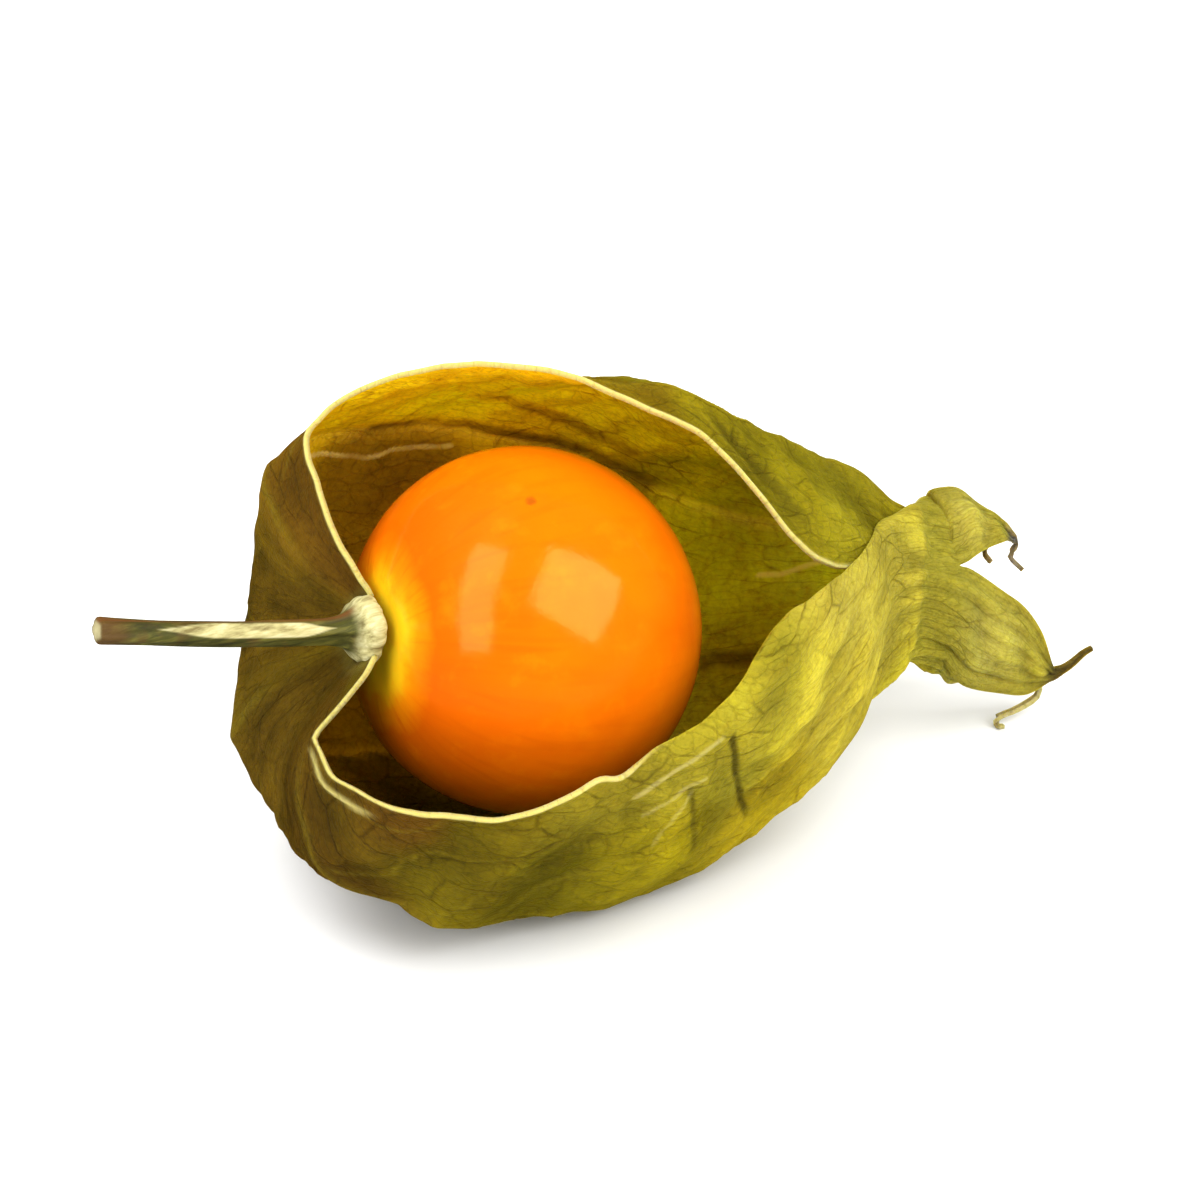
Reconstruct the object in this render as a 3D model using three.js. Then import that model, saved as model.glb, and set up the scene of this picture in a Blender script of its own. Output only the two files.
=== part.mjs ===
// A ripe physalis berry lying in its papery husk, which is torn open along one side.
// Millimetres, +Z up. X runs along the fruit from the stalk to the tip of the husk, -Y is the open side.
// The berry, the husk (one grown sheet with five sepal ends) and the stalk are three closed solids.
import * as THREE from "three";

// ---------------------------------------------------------------- driving dimensions
const FRUIT_PITCH = 13; // degrees: the tip of the husk hangs lower than the stalk

const BERRY_ACROSS = 20.0; // widest diameter
const BERRY_ALONG = 18.8; // from the stem end to the apex
const BERRY_DIMPLE = 0.7; // depth of the hollow at the stem end
const BERRY_GAP = 0.3; // between the collar of the stalk and the berry
const BERRY_SAG = 0.65; // the berry hangs below the axis of the husk by this much

const HUSK_WALL = 0.45; // the papery sheet
const HUSK_FLAT = 1.1; // how far the surface that it rests on flattens its underside
const HUSK_RIBS = [54, 126, 198, 270, 342]; // main ribs: 0 is the open front, 90 the underside
const RIB_HEIGHT = 0.078; // how far the ribs stand out, as a share of the radius
const HUSK_BASE_DEPTH = 3.2; // the base reaches back round the stalk by about this much
const HUSK_ROWS = 38; // from the stalk to the neck
const HUSK_COLUMNS = 45; // from the front rim, under the berry, to the back rim
const FLAP_LIFT = 1.0; // the front flap lies over the back rim near the tip

const STALK_LENGTH = 17.0;
const STALK_RADIUS = 0.66;
const COLLAR_RADIUS = 1.6; // the pale collar that carries the husk and the berry

// ---------------------------------------------------------------- helpers
const rad = THREE.MathUtils.degToRad;
const smooth = (x, a, b) => THREE.MathUtils.smoothstep(x, a, b);
const bump = (x, centre, width) => Math.exp(-(((x - centre) / width) ** 2));

// A value read from a table of [x, value] rows.
function table(rows, x) {
  let i = 1;
  while (i < rows.length - 1 && x > rows[i][0]) i++;
  const [x0, v0] = rows[i - 1],
    [x1, v1] = rows[i];
  return THREE.MathUtils.lerp(v0, v1, THREE.MathUtils.clamp((x - x0) / (x1 - x0), 0, 1));
}

// The axis of the fruit, and the directions across it.
const AXIS = new THREE.Vector3(Math.cos(rad(FRUIT_PITCH)), 0, -Math.sin(rad(FRUIT_PITCH)));
const ABOVE = new THREE.Vector3(Math.sin(rad(FRUIT_PITCH)), 0, Math.cos(rad(FRUIT_PITCH)));
const BEHIND = new THREE.Vector3(0, 1, 0);

// A point at `along` the axis from the collar, `back` towards +Y and `up` across the axis.
function place(along, back, up) {
  return new THREE.Vector3()
    .addScaledVector(AXIS, along)
    .addScaledVector(BEHIND, back)
    .addScaledVector(ABOVE, up);
}

function solid(name, geometry, material) {
  const mesh = new THREE.Mesh(geometry, material);
  mesh.name = name;
  return mesh;
}

function fromTriangles(points, triangles) {
  const geometry = new THREE.BufferGeometry().setFromPoints(points);
  geometry.setIndex(triangles);
  geometry.computeVertexNormals();
  return geometry;
}

// A closed skin over a row of rings, each a list of points that run the same way round.
function loft(rings) {
  const n = rings[0].length,
    last = (rings.length - 1) * n,
    points = rings.flat(),
    triangles = [];
  for (let r = 0; r < rings.length - 1; r++)
    for (let k = 0; k < n; k++) {
      const a = r * n + k,
        b = r * n + ((k + 1) % n);
      triangles.push(a, b, a + n, b, b + n, a + n);
    }
  const middle = (ring) =>
    ring.reduce((sum, p) => sum.add(p), new THREE.Vector3()).divideScalar(n);
  points.push(middle(rings[0]), middle(rings.at(-1)));
  for (let k = 0; k < n; k++) {
    triangles.push(points.length - 2, (k + 1) % n, k);
    triangles.push(points.length - 1, last + k, last + ((k + 1) % n));
  }
  return fromTriangles(points, triangles);
}

// ---------------------------------------------------------------- berry
// Nearly a sphere, a little shorter along the axis, with a shallow hollow where the stalk meets it.
function makeBerry() {
  const outline = [];
  const steps = 26;
  for (let i = 0; i <= steps; i++) {
    const a = (Math.PI * i) / steps;
    const across = (BERRY_ACROSS / 2) * Math.sin(a);
    const along =
      -(BERRY_ALONG / 2) * Math.cos(a) + BERRY_DIMPLE * bump(a, 0, 0.3) - 0.15 * bump(a, Math.PI, 0.12);
    outline.push(new THREE.Vector2(i % steps ? across : 0, along));
  }
  const geometry = new THREE.LatheGeometry(outline, 44);
  // The lathe turns about Y: stand its axis along the fruit.
  const turn = new THREE.Matrix4().makeBasis(ABOVE.clone().negate(), AXIS, BEHIND.clone().negate());
  turn.setPosition(place(BERRY_GAP - BERRY_DIMPLE + BERRY_ALONG / 2, 0, -BERRY_SAG));
  if (turn.determinant() < 0) throw new Error("the berry is mirrored");
  geometry.applyMatrix4(turn);
  return geometry;
}

// ---------------------------------------------------------------- husk
// One meridian of the husk, from the collar back round the base, over the belly and in to the neck.
// Behind the collar the first number is a share of the depth of the base.
const HUSK_MERIDIAN = new THREE.CatmullRomCurve3(
  [
    [0.1, 2.05],
    [-0.5, 3.0],
    [-0.93, 5.6],
    [-1.0, 8.9],
    [-0.45, 12.5],
    [2.8, 14.5],
    [8.5, 14.55],
    [14.5, 13.75],
    [20.5, 11.45],
    [25.5, 8.65],
    [29, 6.1],
    [32, 4.2],
    [34.6, 4.35],
  ].map(([along, radius]) => new THREE.Vector3(along, radius, 0)),
  false,
  "catmullrom",
  0.5,
);
const MERIDIAN_SPANS = 12;

// Where the two torn rims run, in degrees round the axis, against the span of the meridian.
const FRONT_RIM = [
  [0, 24], [0.8, 27], [1.2, 45], [1.8, 64], [2.1, 51], [2.6, 38], [3.6, 20.5], [4.6, 14], [5.4, 5.5],
  [6.2, -2.5], [6.7, -8], [7.2, -22], [7.6, -31], [8.7, -45], [9.6, -55], [10.8, -81], [12, -118],
];
const BACK_RIM = [
  [0, 250], [0.8, 234], [1.9, 226], [3.0, 222], [4.1, 217.5], [4.8, 223], [5.1, 232], [5.7, 259],
  [6.4, 275], [7.2, 285], [7.8, 306], [8.2, 314], [8.8, 316], [9.5, 314], [12, 308],
];

// 1 on a main rib, 0 half way between two. Towards the neck the ribs drift with the wrapped sheet.
function ribAt(angle, along) {
  const wrapped = 54 + (angle - 6) * (72 / 86.2);
  const own = THREE.MathUtils.lerp(angle, wrapped, smooth(along, 15, 32));
  const nearest = Math.min(
    ...HUSK_RIBS.map((rib) => Math.abs(((own - rib + 540 + 360) % 360) - 180)),
  );
  // The section is a five-sided one with rounded corners.
  const rounded = Math.sqrt(nearest ** 2 + 16) - 4;
  const pentagon = Math.cos(rad(36)) / Math.cos(rad(36 - rounded));
  return (pentagon - Math.cos(rad(36))) / (1 - Math.cos(rad(36)));
}

// A point in the middle of the sheet; span runs 0 to 12 along the meridian.
function huskPoint(span, angle) {
  const m = HUSK_MERIDIAN.getPoint(span / MERIDIAN_SPANS);
  let along = m.x,
    radius = m.y;
  const rib = ribAt(angle, along);
  if (along < 0)
    along *= HUSK_BASE_DEPTH + 1.9 * bump(angle, 62, 45) - 1.4 * bump(angle, 215, 50) + 0.8 * (rib - 0.5);
  radius *= 1 + RIB_HEIGHT * (rib - 0.38) * smooth(span, 0, 3) * (1 - 0.4 * smooth(along, 24, 34));
  // Where the wrapped front flap reaches over the back rim it lies further out.
  radius += FLAP_LIFT * smooth(-angle, 5, 50) * smooth(span, 7, 9);
  // The belly hangs a little, and the neck is pinched flat from front to back.
  const sag = (-0.8 + 1.6 * smooth(along, 22, 30) - 0.9 * smooth(along, 32, 36)) * smooth(span, 0, 4);
  const pinch = smooth(along, 24, 32),
    tilt = rad(57),
    wide = radius * Math.cos(rad(angle) - tilt) * (1 + 0.06 * pinch),
    thin = radius * Math.sin(rad(angle) - tilt) * (1 - 0.42 * pinch);
  const towards = wide * Math.cos(tilt) - thin * Math.sin(tilt),
    down = wide * Math.sin(tilt) + thin * Math.cos(tilt);
  return place(along, -towards, sag - down);
}

// Where the last row parts into the five sepal ends, in degrees round the axis.
const SEPAL_PARTINGS = [-118, -47, 40, 126, 212, 308];
// The five dried sepal ends. Each is a blade between two edges, which closes into a dried thread;
// the points are given along the axis, behind it and above it, from the collar.
const SEPALS = [
  {
    first: [[34.8, 2.3, 5.3], [36.0, 1.7, 5.7], [37.1, 0.8, 5.2], [38.5, -0.2, 4.6], [39.1, -0.6, 4.05]],
    last: [[35.7, -1.5, 2.95], [36.7, -1.3, 3.4], [38.1, -0.9, 3.6], [39.1, -0.65, 3.7]],
    thread: [[39.4, -0.7, 3.4], [39.0, -0.9, 2.7], [39.9, -1.0, 1.9]],
  },
  {
    first: [[35.6, -1.6, 2.5], [37.8, -1.9, 1.2], [39.5, -2.0, 0.1], [41.0, -2.1, -1.5], [42.4, -2.2, -3.9]],
    last: [[36.3, -2.6, -4.3], [39.2, -2.5, -5.1], [41.0, -2.4, -5.35], [42.5, -2.2, -4.6]],
    thread: [[43.0, -2.3, -3.95], [43.5, -2.3, -3.6], [44.6, -2.3, -2.7]],
  },
  {
    first: [[36.8, -1.2, -4.6], [40.6, -1.4, -5.4], [42.4, -1.4, -5.2]],
    last: [[38.4, 0.2, -5.2], [42.0, -0.8, -5.9], [42.6, -1.2, -5.5]],
    thread: [[42.3, -1.5, -6.1], [41.1, -1.6, -6.8], [40.0, -1.8, -7.9], [40.5, -1.9, -8.6]],
  },
  {
    first: [[36.8, 1.4, -3.2], [38.6, 1.5, -3.0], [39.9, 1.3, -2.2]],
    last: [[36.2, 2.9, 0.9], [38.2, 2.5, 0.1], [39.8, 1.7, -1.5]],
    thread: [[40.6, 1.0, -2.2], [41.0, 0.5, -3.2], [40.6, 0.2, -4.0]],
  },
  {
    first: [[36.0, 3.0, 2.0], [37.2, 2.4, 2.4], [38.0, 1.7, 2.9]],
    last: [[35.8, 0.9, 3.8], [37.0, 0.9, 3.8], [37.9, 1.3, 3.4]],
    thread: [[38.6, 1.4, 2.6], [38.4, 1.3, 1.8], [38.9, 1.2, 1.2]],
  },
];
const BLADE_ROWS = 7;
const THREAD_ROWS = 4;
const THREAD_WIDTH = 0.5;

// The sheet as rows of points, then the sepal ends as narrower rows that grow on from the last row.
function makeHusk() {
  const points = [],
    quads = [],
    grid = [];
  for (let r = 0; r <= HUSK_ROWS; r++) {
    const span = (MERIDIAN_SPANS * r) / HUSK_ROWS,
      from = table(FRONT_RIM, span),
      to = table(BACK_RIM, span);
    grid.push([]);
    for (let c = 0; c <= HUSK_COLUMNS; c++) {
      grid[r].push(points.length);
      points.push(huskPoint(span, THREE.MathUtils.lerp(from, to, c / HUSK_COLUMNS)));
    }
  }
  const strip = (near, far) => {
    for (let c = 0; c < near.length - 1; c++) quads.push([near[c], near[c + 1], far[c + 1], far[c]]);
  };
  for (let r = 0; r < HUSK_ROWS; r++) strip(grid[r], grid[r + 1]);

  const span = (angle) => THREE.MathUtils.inverseLerp(SEPAL_PARTINGS[0], SEPAL_PARTINGS.at(-1), angle);
  const columnAt = (angle) => Math.round(HUSK_COLUMNS * span(angle));
  const route = (start, spots) => new THREE.CatmullRomCurve3([start, ...spots.map((spot) => place(...spot))]);
  SEPALS.forEach((sepal, s) => {
    let near = grid[HUSK_ROWS].slice(columnAt(SEPAL_PARTINGS[s]), columnAt(SEPAL_PARTINGS[s + 1]) + 1);
    const root = near.map((i) => points[i].clone()),
      firstEdge = route(root[0], sepal.first),
      lastEdge = route(root.at(-1), sepal.last),
      rootWidth = root[0].distanceTo(root.at(-1));
    // A row from a to b that keeps some of the bow of the root.
    const addRow = (a, b, bow) => {
      const far = root.map((p, k) => {
        const share = k / (root.length - 1),
          chord = root[0].clone().lerp(root.at(-1), share);
        points.push(a.clone().lerp(b, share).addScaledVector(p.clone().sub(chord), bow));
        return points.length - 1;
      });
      strip(near, far);
      near = far;
    };
    for (let r = 1; r <= BLADE_ROWS; r++) {
      const u = r / BLADE_ROWS,
        a = firstEdge.getPointAt(u),
        b = lastEdge.getPointAt(u);
      addRow(a, b, ((1 - u) ** 1.6 * a.distanceTo(b)) / rootWidth);
    }
    const end = firstEdge.getPoint(1).lerp(lastEdge.getPoint(1), 0.5),
      thread = route(end, sepal.thread),
      across = lastEdge.getPoint(1).sub(firstEdge.getPoint(1)).normalize();
    for (let r = 1; r <= THREAD_ROWS; r++) {
      const heading = thread.getTangentAt(r / THREAD_ROWS),
        half = across.clone().addScaledVector(heading, -across.dot(heading)).setLength(THREAD_WIDTH / 2),
        middle = thread.getPointAt(r / THREAD_ROWS);
      addRow(middle.clone().sub(half), middle.clone().add(half), 0);
    }
  });
  return thicken(points, quads, HUSK_WALL);
}

// A closed solid from an open sheet: both faces, and a wall along every open edge.
// The side that turns outwards is pressed flat where it meets the plane z = floor.
function thicken(points, quads, wall) {
  const corners = quads.flatMap(([a, b, c, d]) => [a, b, c, a, c, d]);
  const normals = fromTriangles(points, corners).getAttribute("normal");
  const lowest = Math.min(...points.map((p) => p.z)) - wall / 2;
  const floor = lowest + HUSK_FLAT;
  const n = points.length,
    skin = [];
  for (const side of [1, -1])
    points.forEach((p, i) => {
      const q = p.clone().addScaledVector(new THREE.Vector3().fromBufferAttribute(normals, i), (side * wall) / 2);
      q.z = Math.max(q.z, side > 0 ? floor : floor + wall);
      skin.push(q);
    });
  const open = new Map();
  for (const [a, b, c, d] of quads)
    for (const [i, j] of [[a, b], [b, c], [c, d], [d, a]])
      if (!open.delete(j + "," + i)) open.set(i + "," + j, [i, j]);
  const triangles = [...corners];
  for (let k = 0; k < corners.length; k += 3)
    triangles.push(corners[k] + n, corners[k + 2] + n, corners[k + 1] + n);
  for (const [i, j] of open.values()) triangles.push(j, i, i + n, j, i + n, j + n);
  return fromTriangles(skin, triangles);
}

// ---------------------------------------------------------------- stalk
// A thin stalk that widens into the collar; it bends up a little on its way out.
function makeStalk() {
  const outline = [
    [-STALK_LENGTH, STALK_RADIUS * 1.12],
    [-STALK_LENGTH + 1.5, STALK_RADIUS],
    [-10, STALK_RADIUS * 0.95],
    [-6, STALK_RADIUS],
    [-3.2, STALK_RADIUS * 1.2],
    [-1.8, STALK_RADIUS * 1.6],
    [-0.9, COLLAR_RADIUS * 0.9],
    [-0.35, COLLAR_RADIUS],
    [0, COLLAR_RADIUS * 0.85],
  ];
  const rings = outline.map(([along, radius]) => {
    const rise = 0.95 * (along / STALK_LENGTH) ** 2;
    return Array.from({ length: 16 }, (_, k) => {
      const a = (2 * Math.PI * k) / 16;
      return place(along, radius * Math.cos(a), rise + radius * Math.sin(a));
    });
  });
  return loft(rings);
}

// ---------------------------------------------------------------- the fruit
const fruit = new THREE.Group();
fruit.name = "physalis";
fruit.add(
  solid("berry", makeBerry(), new THREE.MeshStandardMaterial({ color: 0xf58a07, roughness: 0.3 })),
  solid("husk", makeHusk(), new THREE.MeshStandardMaterial({ color: 0xa39a33, roughness: 0.7 })),
  solid("stalk", makeStalk(), new THREE.MeshStandardMaterial({ color: 0x77752c, roughness: 0.7 })),
);

// The origin is the middle of the underside of the box that holds the fruit.
const box = new THREE.Box3().setFromObject(fruit, true);
const middle = box.getCenter(new THREE.Vector3());
fruit.position.set(-middle.x, -middle.y, -box.min.z);

export default fruit;
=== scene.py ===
import math

import bpy
import numpy as np
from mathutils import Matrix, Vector


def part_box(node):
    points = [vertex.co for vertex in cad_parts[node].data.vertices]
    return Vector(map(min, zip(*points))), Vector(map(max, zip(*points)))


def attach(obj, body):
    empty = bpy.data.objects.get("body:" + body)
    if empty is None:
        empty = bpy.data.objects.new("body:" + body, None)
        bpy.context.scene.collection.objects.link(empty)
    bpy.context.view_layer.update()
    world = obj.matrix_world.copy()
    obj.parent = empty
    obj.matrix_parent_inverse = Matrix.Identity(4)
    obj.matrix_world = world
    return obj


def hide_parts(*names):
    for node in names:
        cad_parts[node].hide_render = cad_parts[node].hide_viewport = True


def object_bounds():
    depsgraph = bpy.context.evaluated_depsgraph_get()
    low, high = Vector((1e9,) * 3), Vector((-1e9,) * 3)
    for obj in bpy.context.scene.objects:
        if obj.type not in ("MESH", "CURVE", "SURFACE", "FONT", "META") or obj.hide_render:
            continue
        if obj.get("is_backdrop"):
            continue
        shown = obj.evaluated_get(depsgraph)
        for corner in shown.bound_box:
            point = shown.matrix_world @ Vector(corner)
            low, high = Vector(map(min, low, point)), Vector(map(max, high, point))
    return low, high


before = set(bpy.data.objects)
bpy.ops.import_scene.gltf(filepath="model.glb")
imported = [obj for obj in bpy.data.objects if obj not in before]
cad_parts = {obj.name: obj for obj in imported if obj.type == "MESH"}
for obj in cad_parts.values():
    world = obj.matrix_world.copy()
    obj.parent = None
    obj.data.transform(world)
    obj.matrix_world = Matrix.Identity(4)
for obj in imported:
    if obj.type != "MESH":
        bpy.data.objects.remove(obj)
cad_low, cad_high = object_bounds()


# ---------------------------------------------------------------- stalk
# The fruit stalk is a thin, ridged green stem with a pale stripe along its upper side, which is dried
# tissue and a painted highlight. It widens into the pale, fibrous collar that carries husk and berry, and
# its far end is where it was picked.
MM = 0.001
PITCH = math.radians(13)
AXIS = Vector((math.cos(PITCH), 0, -math.sin(PITCH)))
ABOVE = Vector((math.sin(PITCH), 0, math.cos(PITCH)))
berry_low, berry_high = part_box("berry")
berry_centre = (Vector(berry_low) + Vector(berry_high)) / 2
# The berry's middle lies this far along from the collar and hangs this far below the axis, in mm.
BERRY_REACH = 9.0
BERRY_SAG = 0.65
COLLAR = berry_centre - AXIS * BERRY_REACH * MM + ABOVE * BERRY_SAG * MM
STALK_LENGTH = 17.0
STALK_ARCH = 0.95
STALK_SIDES = 48
# Where the pale stripe (dried tissue and a painted highlight) and the brown blush lie round the stem, in
# radians.
STRIPE_TURN = 2.38
BLUSH_TURN = 1.45
# Distance along the fruit's axis from the collar, and radius, in mm.
STALK_STATIONS = [
    (-STALK_LENGTH, 0.74), (-16.6, 0.70), (-15.0, 0.67), (-12.5, 0.66), (-10.0, 0.67), (-8.0, 0.69),
    (-6.4, 0.70), (-4.9, 0.68), (-3.8, 0.67), (-3.0, 0.72), (-2.4, 0.84), (-2.0, 1.04), (-1.7, 1.30),
    (-1.45, 1.58), (-1.2, 1.78), (-0.85, 1.88), (-0.5, 1.80), (-0.3, 1.45),
]


def fruit_place(along, back, up):
    """Places in metres of points given in mm along, behind and above the fruit's axis at the collar."""
    along, back, up = np.broadcast_arrays(along, back, up)
    spot = along[..., None] * np.array(AXIS) + up[..., None] * np.array(ABOVE)
    spot = spot + back[..., None] * np.array((0.0, 1.0, 0.0))
    return np.array(COLLAR) + spot * MM


def fruit_measure(spots):
    """The other way round: mm along, behind and above the axis of places in metres."""
    local = (spots - np.array(COLLAR)) / MM
    return local @ np.array(AXIS), local[..., 1], local @ np.array(ABOVE)


def vertex_places(piece):
    spots = np.empty(len(piece.data.vertices) * 3)
    piece.data.vertices.foreach_get("co", spots)
    return spots.reshape(-1, 3)


def move_vertices(piece, spots):
    piece.data.vertices.foreach_set("co", np.ascontiguousarray(spots, dtype=float).ravel())
    piece.data.update()


def paint_value(piece, name, values):
    """A number per vertex that the piece's material reads."""
    layer = piece.data.attributes.new(name, "FLOAT", "POINT")
    layer.data.foreach_set("value", np.ascontiguousarray(values, dtype=np.float32).ravel())


def soft_step(x, low, high):
    u = np.clip((x - low) / (high - low), 0, 1)
    return u * u * (3 - 2 * u)


def swell(x, centre, width):
    return np.exp(-(((x - centre) / width) ** 2))


class Finish:
    """A new node material, with short calls that add nodes and join them."""

    def __init__(self, name):
        self.material = bpy.data.materials.new(name)
        self.material.use_nodes = True
        self.tree = self.material.node_tree
        self.tree.nodes.clear()

    def add(self, kind, inputs=None, **settings):
        node = self.tree.nodes.new(kind)
        for key, value in settings.items():
            setattr(node, key, value)
        for key, value in (inputs or {}).items():
            if isinstance(value, bpy.types.NodeSocket):
                self.tree.links.new(value, node.inputs[key])
            else:
                node.inputs[key].default_value = value
        return node

    def ramp(self, factor, *stops):
        node = self.add("ShaderNodeValToRGB", {"Fac": factor})
        while len(node.color_ramp.elements) < len(stops):
            node.color_ramp.elements.new(0.5)
        for element, (place, colour) in zip(node.color_ramp.elements, stops):
            element.position = place
            element.color = (*colour, 1) if isinstance(colour, tuple) else (colour, colour, colour, 1)
        return node.outputs["Color"]

    def math(self, operation, first, second=0.0, third=0.0):
        return self.add("ShaderNodeMath", {0: first, 1: second, 2: third}, operation=operation).outputs[0]

    def mix(self, factor, first, second, blend="MIX"):
        values = {0: factor, 6: first, 7: second}
        return self.add("ShaderNodeMix", values, data_type="RGBA", blend_type=blend).outputs[2]

    def stretched(self, vector, scale):
        return self.add("ShaderNodeMapping", {"Vector": vector, "Scale": scale}).outputs[0]

    def attribute(self, name, output="Fac"):
        return self.add("ShaderNodeAttribute", attribute_name=name).outputs[output]


bpy.ops.object.select_all(action="DESELECT")
first_along, first_radius = STALK_STATIONS[0]
centre, radius = Vector(fruit_place(first_along, 0, STALK_ARCH)), first_radius
bpy.ops.mesh.primitive_circle_add(
    vertices=STALK_SIDES, radius=radius * MM, fill_type="NGON",
    location=centre, rotation=(0, math.pi / 2 + PITCH, 0))
stalk = bpy.context.object
stalk.name = "stalk_stem"
bpy.ops.object.transform_apply(location=True, rotation=True, scale=True)
bpy.ops.object.mode_set(mode="EDIT")
bpy.ops.mesh.select_all(action="SELECT")
for along, wide in STALK_STATIONS[1:]:
    arch = STALK_ARCH * (along / STALK_LENGTH) ** 2
    onward = Vector(fruit_place(along, 0, arch))
    bpy.ops.mesh.extrude_region_move(TRANSFORM_OT_translate={"value": onward - centre})
    bpy.ops.transform.resize(value=(wide / radius,) * 3, center_override=onward)
    centre, radius = onward, wide
bpy.ops.object.mode_set(mode="OBJECT")
rounding = stalk.modifiers.new("rounding", "SUBSURF")
rounding.levels = rounding.render_levels = 2
bpy.ops.object.modifier_apply(modifier="rounding")

# Five low ridges run along the stem, and the collar is fibrous and a little frayed at its edge.
along, back, up = fruit_measure(vertex_places(stalk))
arch = np.where(along < 0, STALK_ARCH * (along / STALK_LENGTH) ** 2, 0)
turn = np.arctan2(up - arch, back)
turn = np.where(turn < -1.5, turn + 2 * math.pi, turn)
radius = np.hypot(back, up - arch)
collar_share = soft_step(along, -2.4, -1.3)
ridged = 1 + 0.07 * np.cos(5 * turn + 0.25 * along) * (1 - collar_share)
ridged += 0.02 * np.sin(11 * turn + 1.3 * along)
fluted = np.sin(17 * turn + 2.5 * np.sin(3 * turn) + 1.2 * np.sin(7 * turn))
ridged += collar_share * (0.012 * fluted + 0.035 * np.sin(5 * turn + 1) + 0.03 * np.sin(3 * turn + 0.4))
move_vertices(stalk, fruit_place(
    along, np.cos(turn) * radius * ridged, arch + np.sin(turn) * radius * ridged))
stalk.data.shade_smooth()
# The pale stripe along the upper side is dried tissue, and it is also a painted highlight.
stripe_half = 0.62 * soft_step(-along, 2.7, 5.0) * (1 - soft_step(-along, 10.0, 14.0))
stripe = 1 - soft_step(np.abs(turn - STRIPE_TURN) - stripe_half, -0.12, 0.06)
paint_value(stalk, "pale", np.clip(soft_step(along, -2.1, -1.4) + stripe * (stripe_half > 0.02), 0, 1))
paint_value(stalk, "brown", swell(turn, BLUSH_TURN, 0.25) + 0.6 * soft_step(-along, 14.5, 16.5))
paint_value(stalk, "cut_end", 1 - soft_step(along, 0.02 - STALK_LENGTH, 0.1 - STALK_LENGTH))

finish = Finish("stalk tissue")
place = finish.add("ShaderNodeTexCoord").outputs["Object"]
streaks = finish.add("ShaderNodeTexNoise", {
    "Vector": finish.stretched(place, (0.12, 1, 1)), "Scale": 2600.0, "Detail": 4.0, "Roughness": 0.6})
blotch = finish.add("ShaderNodeTexNoise", {"Vector": place, "Scale": 700.0, "Detail": 4.0})
green = finish.ramp(streaks.outputs["Fac"], (0.3, (0.022, 0.022, 0.003)), (0.52, (0.06, 0.058, 0.006)),
                    (0.72, (0.15, 0.135, 0.02)))
browned = finish.mix(finish.attribute("brown"), green, (0.13, 0.05, 0.008, 1))
blotched = finish.ramp(blotch.outputs["Fac"], (0.52, 0.0), (0.7, 0.7))
browned = finish.mix(blotched, browned, (0.09, 0.045, 0.008, 1))
straw = finish.ramp(streaks.outputs["Fac"], (0.32, (0.20, 0.16, 0.05)), (0.5, (0.46, 0.41, 0.17)),
                    (0.66, (0.64, 0.59, 0.31)))
skin = finish.mix(finish.attribute("pale"), browned, straw)
skin = finish.mix(finish.attribute("cut_end"), skin, (0.45, 0.40, 0.2, 1))
grain = finish.add("ShaderNodeBump", {
    "Height": streaks.outputs["Fac"], "Strength": 0.6, "Distance": 0.00014})
surface = finish.add("ShaderNodeBsdfPrincipled", {
    "Base Color": skin, "Roughness": 0.6, "Specular IOR Level": 0.25, "Normal": grain.outputs[0]})
finish.add("ShaderNodeOutputMaterial", {"Surface": surface.outputs[0]})
stalk.data.materials.append(finish.material)
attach(stalk, "root")
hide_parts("stalk")


# ---------------------------------------------------------------- berry
# The ripe berry is a nearly round orange fruit with a thin, waxy, slightly translucent skin. It grows
# from the collar, with a shallow yellow hollow there and a tiny dark scar at the far end.
BERRY_RADIUS = 10.0
BERRY_HALF_LENGTH = 9.4

bpy.ops.object.select_all(action="DESELECT")
bpy.ops.mesh.primitive_uv_sphere_add(
    segments=180, ring_count=120, radius=BERRY_RADIUS * MM, location=berry_centre,
    rotation=(0, math.pi / 2 + PITCH, 0))
berry = bpy.context.object
berry.name = "berry_fruit"
bpy.ops.object.transform_apply(location=True, rotation=True, scale=True)
along, back, up = fruit_measure(vertex_places(berry))
along = (along - BERRY_REACH) / BERRY_RADIUS
back = back / BERRY_RADIUS
up = (up + BERRY_SAG) / BERRY_RADIUS
from_stem = np.arccos(np.clip(-along, -1, 1))
turn = np.arctan2(up, back)
plump = 1 + 0.005 * np.cos(2 * turn + 0.6) * np.sin(from_stem) ** 2
plump += 0.004 * np.cos(5 * turn + 1.0) * swell(from_stem, 0.7, 0.5)
shoulder = 0.012 * swell(from_stem, 0.75, 0.35)
hollow = 0.60 * swell(from_stem, 0, 0.26)
scar = 0.22 * swell(from_stem, math.pi, 0.045)
move_vertices(berry, fruit_place(
    BERRY_REACH + BERRY_HALF_LENGTH * along * (plump + shoulder) + hollow - scar,
    BERRY_RADIUS * back * (plump + shoulder),
    -BERRY_SAG + BERRY_RADIUS * up * (plump + shoulder)))
berry.data.shade_smooth()
paint_value(berry, "from_stem", from_stem / math.pi)
speck_at = np.array((-0.30, -0.22, 0.93))
speck_near = np.stack([along, back, up], axis=-1) - speck_at / np.linalg.norm(speck_at)
paint_value(berry, "from_speck", np.linalg.norm(speck_near, axis=1) * BERRY_RADIUS)

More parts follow.
